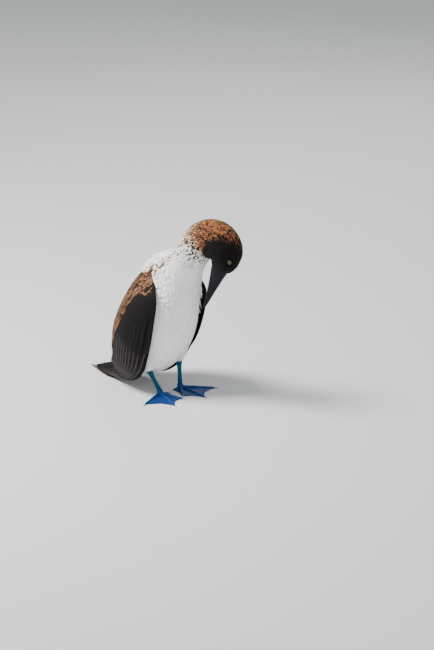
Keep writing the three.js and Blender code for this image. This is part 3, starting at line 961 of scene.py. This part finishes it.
def on_tail(t, s, height):
    """Points on the tail at rows t and shares s of its half width, and which way its upper side faces."""
    at, change = numbers_near(TAIL, TAIL_KEYS, t)
    ahead = unit(place(change["f"], 0, change["z"]))
    side = np.broadcast_to((1.0, 0.0, 0.0), ahead.shape)
    back = np.cross(ahead, side)
    points = place(at["f"], at["l"], at["z"]) + side * (at["wide"] * s)[..., None]
    return metres(points + back * (height - at["bow"] * s * s)[..., None]), back


def tail_feathers():
    """Stiff feathers in a fan, the middle one on top and the longest."""
    source = np.random.default_rng(31)
    order = np.array(sorted(range(-TAIL_PAIRS, TAIL_PAIRS + 1), key=lambda k: -abs(k)))
    shares = np.linspace(0, 1, 14)
    tips = 0.04 + 2.4 * (np.abs(order) / TAIL_PAIRS) ** 1.3
    t = TAIL_LAST_ROW + (tips[:, None] - TAIL_LAST_ROW) * shares
    s = (order / TAIL_PAIRS)[:, None] * np.interp(shares, (0, 0.5, 1), (0.45, 0.72, 0.86))
    rise = 0.25 * (TAIL_PAIRS - np.abs(order))[:, None] * np.interp(shares, (0, 0.4, 1), (1.4, 1, 0.35))
    path, out = on_tail(t, s, rise + 0.05)
    profile = ((0, 0.6), (0.3, 0.9), (0.75, 1.0), (0.92, 0.7), (1, 0.1))
    widths = TAIL_FEATHER_WIDE * np.interp(shares, *zip(*profile))
    across = np.array((-1, -0.55, -0.09, 0, 0.09, 0.55, 1))
    colours = banded(TAIL_BROWN, WING_EDGE, SHAFT, CREAM, source)(shares, across, len(order))
    colours = mix(colours, SHAFT, (np.abs(across) < 0.1) * 0.5)
    uv = np.stack([0.5 + order / 14, 0.05 + 0 * order], -1)
    slot, nodes = "brown_plumage", ("tail",)
    vanes("tail_feathers", path, out, widths, colours, uv, across, STIFF, TAIL_CROWN, replaces=nodes)


tail_feathers()


def tail_coverts():
    """Soft feathers over and under the root of the tail."""
    source = np.random.default_rng(32)
    for name, face, colour in (("upper", 1, TAIL_BROWN), ("under", -1, WHITE)):
        count = TAIL_COVERTS
        start = source.uniform(4.6, 5.95, count)
        s0 = source.uniform(-0.95, 0.95, count)
        shares = np.linspace(0, 1, 6)
        t = start[:, None] - shares * source.uniform(1.2, 1.7, count)[:, None]
        thick = numbers_at(TAIL, TAIL_KEYS, t)["thick"]
        room = thick * 0.5 * np.sqrt(1 - (s0 * s0)[:, None] * 0.9) + (0.8 if face > 0 else 0.1)
        path, back = on_tail(t, s0[:, None] * np.interp(shares, (0, 1), (1, 0.95)), face * room)
        path[..., 2] = np.maximum(path[..., 2], 0.0006)
        widths = TAIL_COVERT_WIDE * np.interp(shares, (0, 0.5, 0.85, 1), (0.6, 1, 0.7, 0.15))
        across = THREE_COLUMNS
        colours = banded(colour, colour, colour, colour, source, spread=0.06)(shares, across, count)
        uv = np.stack([0.5 + s0 * 0.45, start / 6.5], -1)
        out = back * face
        vanes(f"tail_coverts_{name}", path, out, widths, colours, uv, across, SOFT, 0.15)


tail_coverts()


# Bill
def bill_frame():
    _, ahead, side, back, middle = body_frame(np.array(len(BODY) - 1.0))
    start = middle - MOUTH_LOW * back
    tip = place(*BILL_TIP)
    along = unit(tip - start)
    across = unit(side - dot(side, along) * along)
    return start, along, across, np.cross(along, across)


BILL_START, BILL_AHEAD, BILL_SIDE, BILL_BACK = bill_frame()
LOWER_SHARE = 0.975
SAW_TEETH = 70
SAW_DEPTH = 0.28
GROOVE_DEPTH, GROOVE_ANGLE, GROOVE_WIDTH = 0.9, 0.95, 0.13
HOOK = {True: -1.5, False: -0.6}
# The bill's tints are a real blue-grey slate, darker at the tip, made near-black with painted shade.
SLATE_AND_SHADE = (0.05, 0.075, 0.115)
SLATE_GREY_AND_SHADE = (0.075, 0.09, 0.12)
BILL_TIP_TINT = (0.035, 0.045, 0.06)
MOUTH_TINT = (0.14, 0.085, 0.075)


def bill_half(upper):
    """One half of the bill, with its sawn edge, its slight hook and, on the upper half, a groove."""
    shares = np.concatenate([np.linspace(-0.05, 0.9, 50), np.linspace(0.91, 1, 12)])
    turns = np.radians(np.linspace(-90, 90, 27))
    rows = []
    tints = []
    for share in shares:
        inside = max(share, 0)
        up, down, wide = (np.interp(inside, BILL_SHAPE[:, 0], BILL_SHAPE[:, k]) for k in (1, 2, 3))
        reach = up if upper else down
        length = BILL_LENGTH * (1 if upper else LOWER_SHARE)
        saw = SAW_DEPTH * (abs((share * SAW_TEETH) % 1 - 0.5) - 0.25) * (0.25 < share < 0.93)
        hook = HOOK[upper] * ramp(share, 0.86, 1.0)
        beside_ridge = np.exp(-(((np.abs(turns) - GROOVE_ANGLE) / GROOVE_WIDTH) ** 2))
        groove = GROOVE_DEPTH * (upper and share < 0.8) * beside_ridge
        size = 1 - groove / max(reach, 4)
        aside = wide * np.sin(turns) * size
        deep = reach * np.sign(np.cos(turns)) * np.abs(np.cos(turns)) ** 0.92 * size
        gap = 0.12 + saw * (np.abs(np.sin(turns)) > 0.99)
        height = (deep + gap) * (1 if upper else -1) + hook
        middle = BILL_START + BILL_AHEAD * share * length
        rows.append(middle + aside[:, None] * BILL_SIDE + height[:, None] * BILL_BACK)
        # Slate bands along the bill, darkened with painted shade, and darker still towards the tip.
        slate_and_shade = mix(SLATE_AND_SHADE, SLATE_GREY_AND_SHADE, 0.5 + 0.5 * math.sin(share * 9))
        slate_and_shade = mix(slate_and_shade, BILL_TIP_TINT, ramp(share, 0.75, 1))
        mouth = ramp(np.abs(np.sin(turns)), 0.9, 1.0)
        tints.append(mix(slate_and_shade, MOUTH_TINT, 0.6 * mouth))
    if not upper:
        rows = [row[::-1] for row in rows]
        tints = [row[::-1] for row in tints]
    name = "bill_upper" if upper else "bill_lower"
    points = metres(np.array(rows)).reshape(-1, 3)
    piece = mesh_object(f"{name}_horn", points, loft_faces(len(rows), len(turns)), (name,))
    dress(piece, HORN, np.array(tints).reshape(-1, 3), unrolled(len(shares), len(turns)))


bill_half(True)
bill_half(False)


# Eyes with a pale yellow iris, set in rims of bare skin. Tints change between two angles, in degrees from
# the middle of the pupil.
PUPIL_TINT, PUPIL_EDGE = (0.02, 0.02, 0.02), (17, 19.5)
IRIS_PALE, IRIS_DARK = (0.42, 0.37, 0.19), (0.30, 0.25, 0.12)
IRIS_RIM_TINT, IRIS_RIM = (0.20, 0.16, 0.08), (36, 43)
SOCKET_TINT, SOCKET_EDGE = (0.05, 0.04, 0.04), (46, 51)
CORNEA_ANGLE = math.radians(34)
CORNEA_BULGE = 0.035
LID_OUTER_TINT, LID_INNER_TINT = (0.085, 0.095, 0.12), (0.035, 0.04, 0.05)
LID_FAT, UPPER_LID_FAT = 0.00055, 0.0002


def look_frame(side):
    """The middle of an eye, the way it looks, and the ways along the head and across it there."""
    sign = SIGNS[side]
    centre = EYE_CENTRES[side]
    surface = metres(on_body(np.array(EYE_ROW), sign * EYE_ANGLE))
    _, ahead, _, _, _ = body_frame(np.array(EYE_ROW))
    out = unit(surface - centre)
    along = unit(ahead - dot(ahead, out) * out)
    return centre, out, along, np.cross(out, along)


def eyeball(side):
    centre, out, along, up = look_frame(side)
    polar = np.radians(np.concatenate([np.linspace(1, 70, 36), np.linspace(80, 178, 8)]))
    turns = np.linspace(0, 2 * math.pi, 48, endpoint=False)
    radius = EYE_RADIUS / 1000
    p, a = np.meshgrid(polar, turns, indexing="ij")
    cornea = 1 + CORNEA_BULGE * np.maximum(0, 1 - (p / CORNEA_ANGLE) ** 2)
    points = centre + radius * cornea[..., None] * (
        np.cos(p)[..., None] * out
        + (np.sin(p) * np.cos(a))[..., None] * along
        + (np.sin(p) * np.sin(a))[..., None] * up
    )
    degrees = np.degrees(p)
    rays = 0.5 + 0.5 * np.sin(a * 24 + np.sin(a * 5) * 2)
    iris = mix(IRIS_PALE, IRIS_DARK, rays * 0.6)
    tint = mix(PUPIL_TINT, iris, ramp(degrees, *PUPIL_EDGE))
    tint = mix(tint, IRIS_RIM_TINT, ramp(degrees, *IRIS_RIM))
    tint = mix(tint, SOCKET_TINT, ramp(degrees, *SOCKET_EDGE))
    faces = loft_faces(len(polar), len(turns))
    piece = mesh_object(f"eye_{side}_ball", points.reshape(-1, 3), faces, (f"eye_{side}",))
    away = (0.48 * p / math.pi)[..., None]
    uv = 0.5 + away * np.stack([np.cos(a), np.sin(a)], -1)
    dress(piece, EYE, tint.reshape(-1, 3), uv.reshape(-1, 2))


def eyelids(side):
    """A soft rim round the eye, thicker above, that lies on the eyeball."""
    centre, out, along, up = look_frame(side)
    radius = EYE_RADIUS / 1000
    turns = np.linspace(0, 2 * math.pi, 64, endpoint=False)
    around = np.linspace(0, 2 * math.pi, 12, endpoint=False)
    rows, tints = [], []
    for turn in turns:
        lid = 0.5 + 0.5 * math.sin(turn)
        # The opening is longer than it is high, with a corner in front and behind.
        reach = math.radians(50 - 8 * abs(math.sin(turn)) + 6 * abs(math.cos(turn)) ** 3)
        way = math.cos(turn) * along + math.sin(turn) * up
        at = out * math.cos(reach) + way * math.sin(reach)
        lying = way * math.cos(reach) - out * math.sin(reach)
        fat = LID_FAT + UPPER_LID_FAT * lid
        for a in around:
            fold = 1 + 0.08 * math.sin(turn * 21)
            offset = at * (fat * 0.75 * math.cos(a)) + lying * (fat * 1.5 * fold * math.sin(a))
            rows.append(centre + at * (radius + 0.0002) + offset)
            tints.append(mix(LID_OUTER_TINT, LID_INNER_TINT, 0.5 + 0.5 * math.sin(a)))
    ring = np.arange(len(rows)).reshape(len(turns), -1).T
    faces = side_faces(np.vstack([ring, ring[:1]]))
    piece = mesh_object(f"eyelids_{side}", rows, faces)
    dress(piece, BARE, np.array(tints), unrolled(len(turns), len(around)))


for eye_side in SIGNS:
    eyeball(eye_side)
    eyelids(eye_side)


# Legs and feet: teal above, blue webs and lighter toes. Heights are in millimetres over the floor.
LEG_TEAL = (0.0, 0.29, 0.38)
WEB_BLUE = (0.0, 0.18, 0.41)
TOE_BLUE = (0.01, 0.31, 0.53)
LEG_VOXEL = 0.0008
LEG_ROUNDS = 5
TEAL_FROM, TEAL_FULL = 10, 22
TOE_FROM, TOE_FULL = 2.2, 5.0


def leg(side):
    """The bare leg below the feathers, with its foot."""
    nodes = (f"shank_{side}", f"foot_{side}")
    piece = joined(f"leg_{side}", nodes, LEG_VOXEL, LEG_ROUNDS)
    settle(piece, nodes)
    co = points_of(piece.data)
    co[:, 2] = np.maximum(co[:, 2], 0)
    piece.data.vertices.foreach_set("co", co.astype(np.float32).ravel())
    height = co[:, 2] * 1000
    tint = mix(WEB_BLUE, LEG_TEAL, ramp(height, TEAL_FROM, TEAL_FULL))
    toe = ramp(height, TOE_FROM, TOE_FULL) * (1 - ramp(height, 10, 14))
    tint = mix(tint, TOE_BLUE, 0.45 * toe)
    low, high = co.min(0), co.max(0)
    flat = (co - low) / (high - low)
    upward = normals_of(piece.data)[:, 2] > 0
    uv = np.stack([flat[:, 0] * 0.48 + np.where(upward, 0.01, 0.51), flat[:, 1] * 0.98 + 0.01], -1)
    dress(piece, BARE, tint, uv)


for leg_side in SIGNS:
    leg(leg_side)
    for toe_name in ("hallux", "inner", "middle", "outer"):
        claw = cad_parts[f"claw_{leg_side}_{toe_name}"]
        claw.data.materials.clear()
        claw.data.materials.append(CLAW)


# Floor, light and camera
FLOOR_SIZE = 30
FLOOR_COLOUR = (0.62, 0.62, 0.61, 1)
SKY_COLOUR = (0.86, 0.90, 0.95, 1)
SKY_STRENGTH = 0.55
LIGHT_AIM = Vector((0, 0, 0.2))
LAMPS = (
    # name, place, size and power in watts
    ("key", (-1.2, 0.9, 2.6), 1.0, 190),
    ("fill", (-1.4, -2.8, 1.6), 2.4, 30),
    ("rim", (2.2, 1.2, 1.8), 1.4, 24),
)


def stage():
    bpy.ops.mesh.primitive_plane_add(size=FLOOR_SIZE)
    floor = bpy.context.object
    floor.name = "floor"
    nodes = Nodes("pale_floor")
    nodes.shader.inputs["Base Color"].default_value = FLOOR_COLOUR
    nodes.bump(nodes.noise(30), 0.02, 0.001)
    floor.data.materials.append(nodes.finish(0.85, 0.2))
    world = bpy.data.worlds.new("studio")
    bpy.context.scene.world = world
    world.use_nodes = True
    sky = world.node_tree.nodes["Background"]
    sky.inputs["Color"].default_value = SKY_COLOUR
    sky.inputs["Strength"].default_value = SKY_STRENGTH
    for name, place_m, size, power in LAMPS:
        light = bpy.data.lights.new(name, "AREA")
        light.size = size
        light.energy = power
        lamp = new_object(name, light)
        lamp.location = place_m
        aim = LIGHT_AIM - Vector(place_m)
        lamp.rotation_euler = aim.to_track_quat("-Z", "Y").to_euler()


CAMERA_AZIMUTH = math.radians(-44)
CAMERA_ELEVATION = math.radians(18)
CAMERA_DISTANCE = 8.0
PIXELS_PER_METRE = 460
PHOTO_HEIGHT = 650
AIM = (150.2, 0, 190.1)


def camera():
    data = bpy.data.cameras.new("camera")
    data.lens = PIXELS_PER_METRE * CAMERA_DISTANCE * data.sensor_width / PHOTO_HEIGHT
    data.clip_end = 100
    view = new_object("camera", data)
    flat = math.cos(CAMERA_ELEVATION)
    up = math.sin(CAMERA_ELEVATION)
    back = Vector((math.sin(CAMERA_AZIMUTH) * flat, -math.cos(CAMERA_AZIMUTH) * flat, up))
    aim = Vector(metres(place(*AIM)))
    view.location = aim + back * CAMERA_DISTANCE
    view.rotation_euler = (-back).to_track_quat("-Z", "Y").to_euler()
    bpy.context.scene.camera = view


stage()
camera()
bpy.context.view_layer.update()
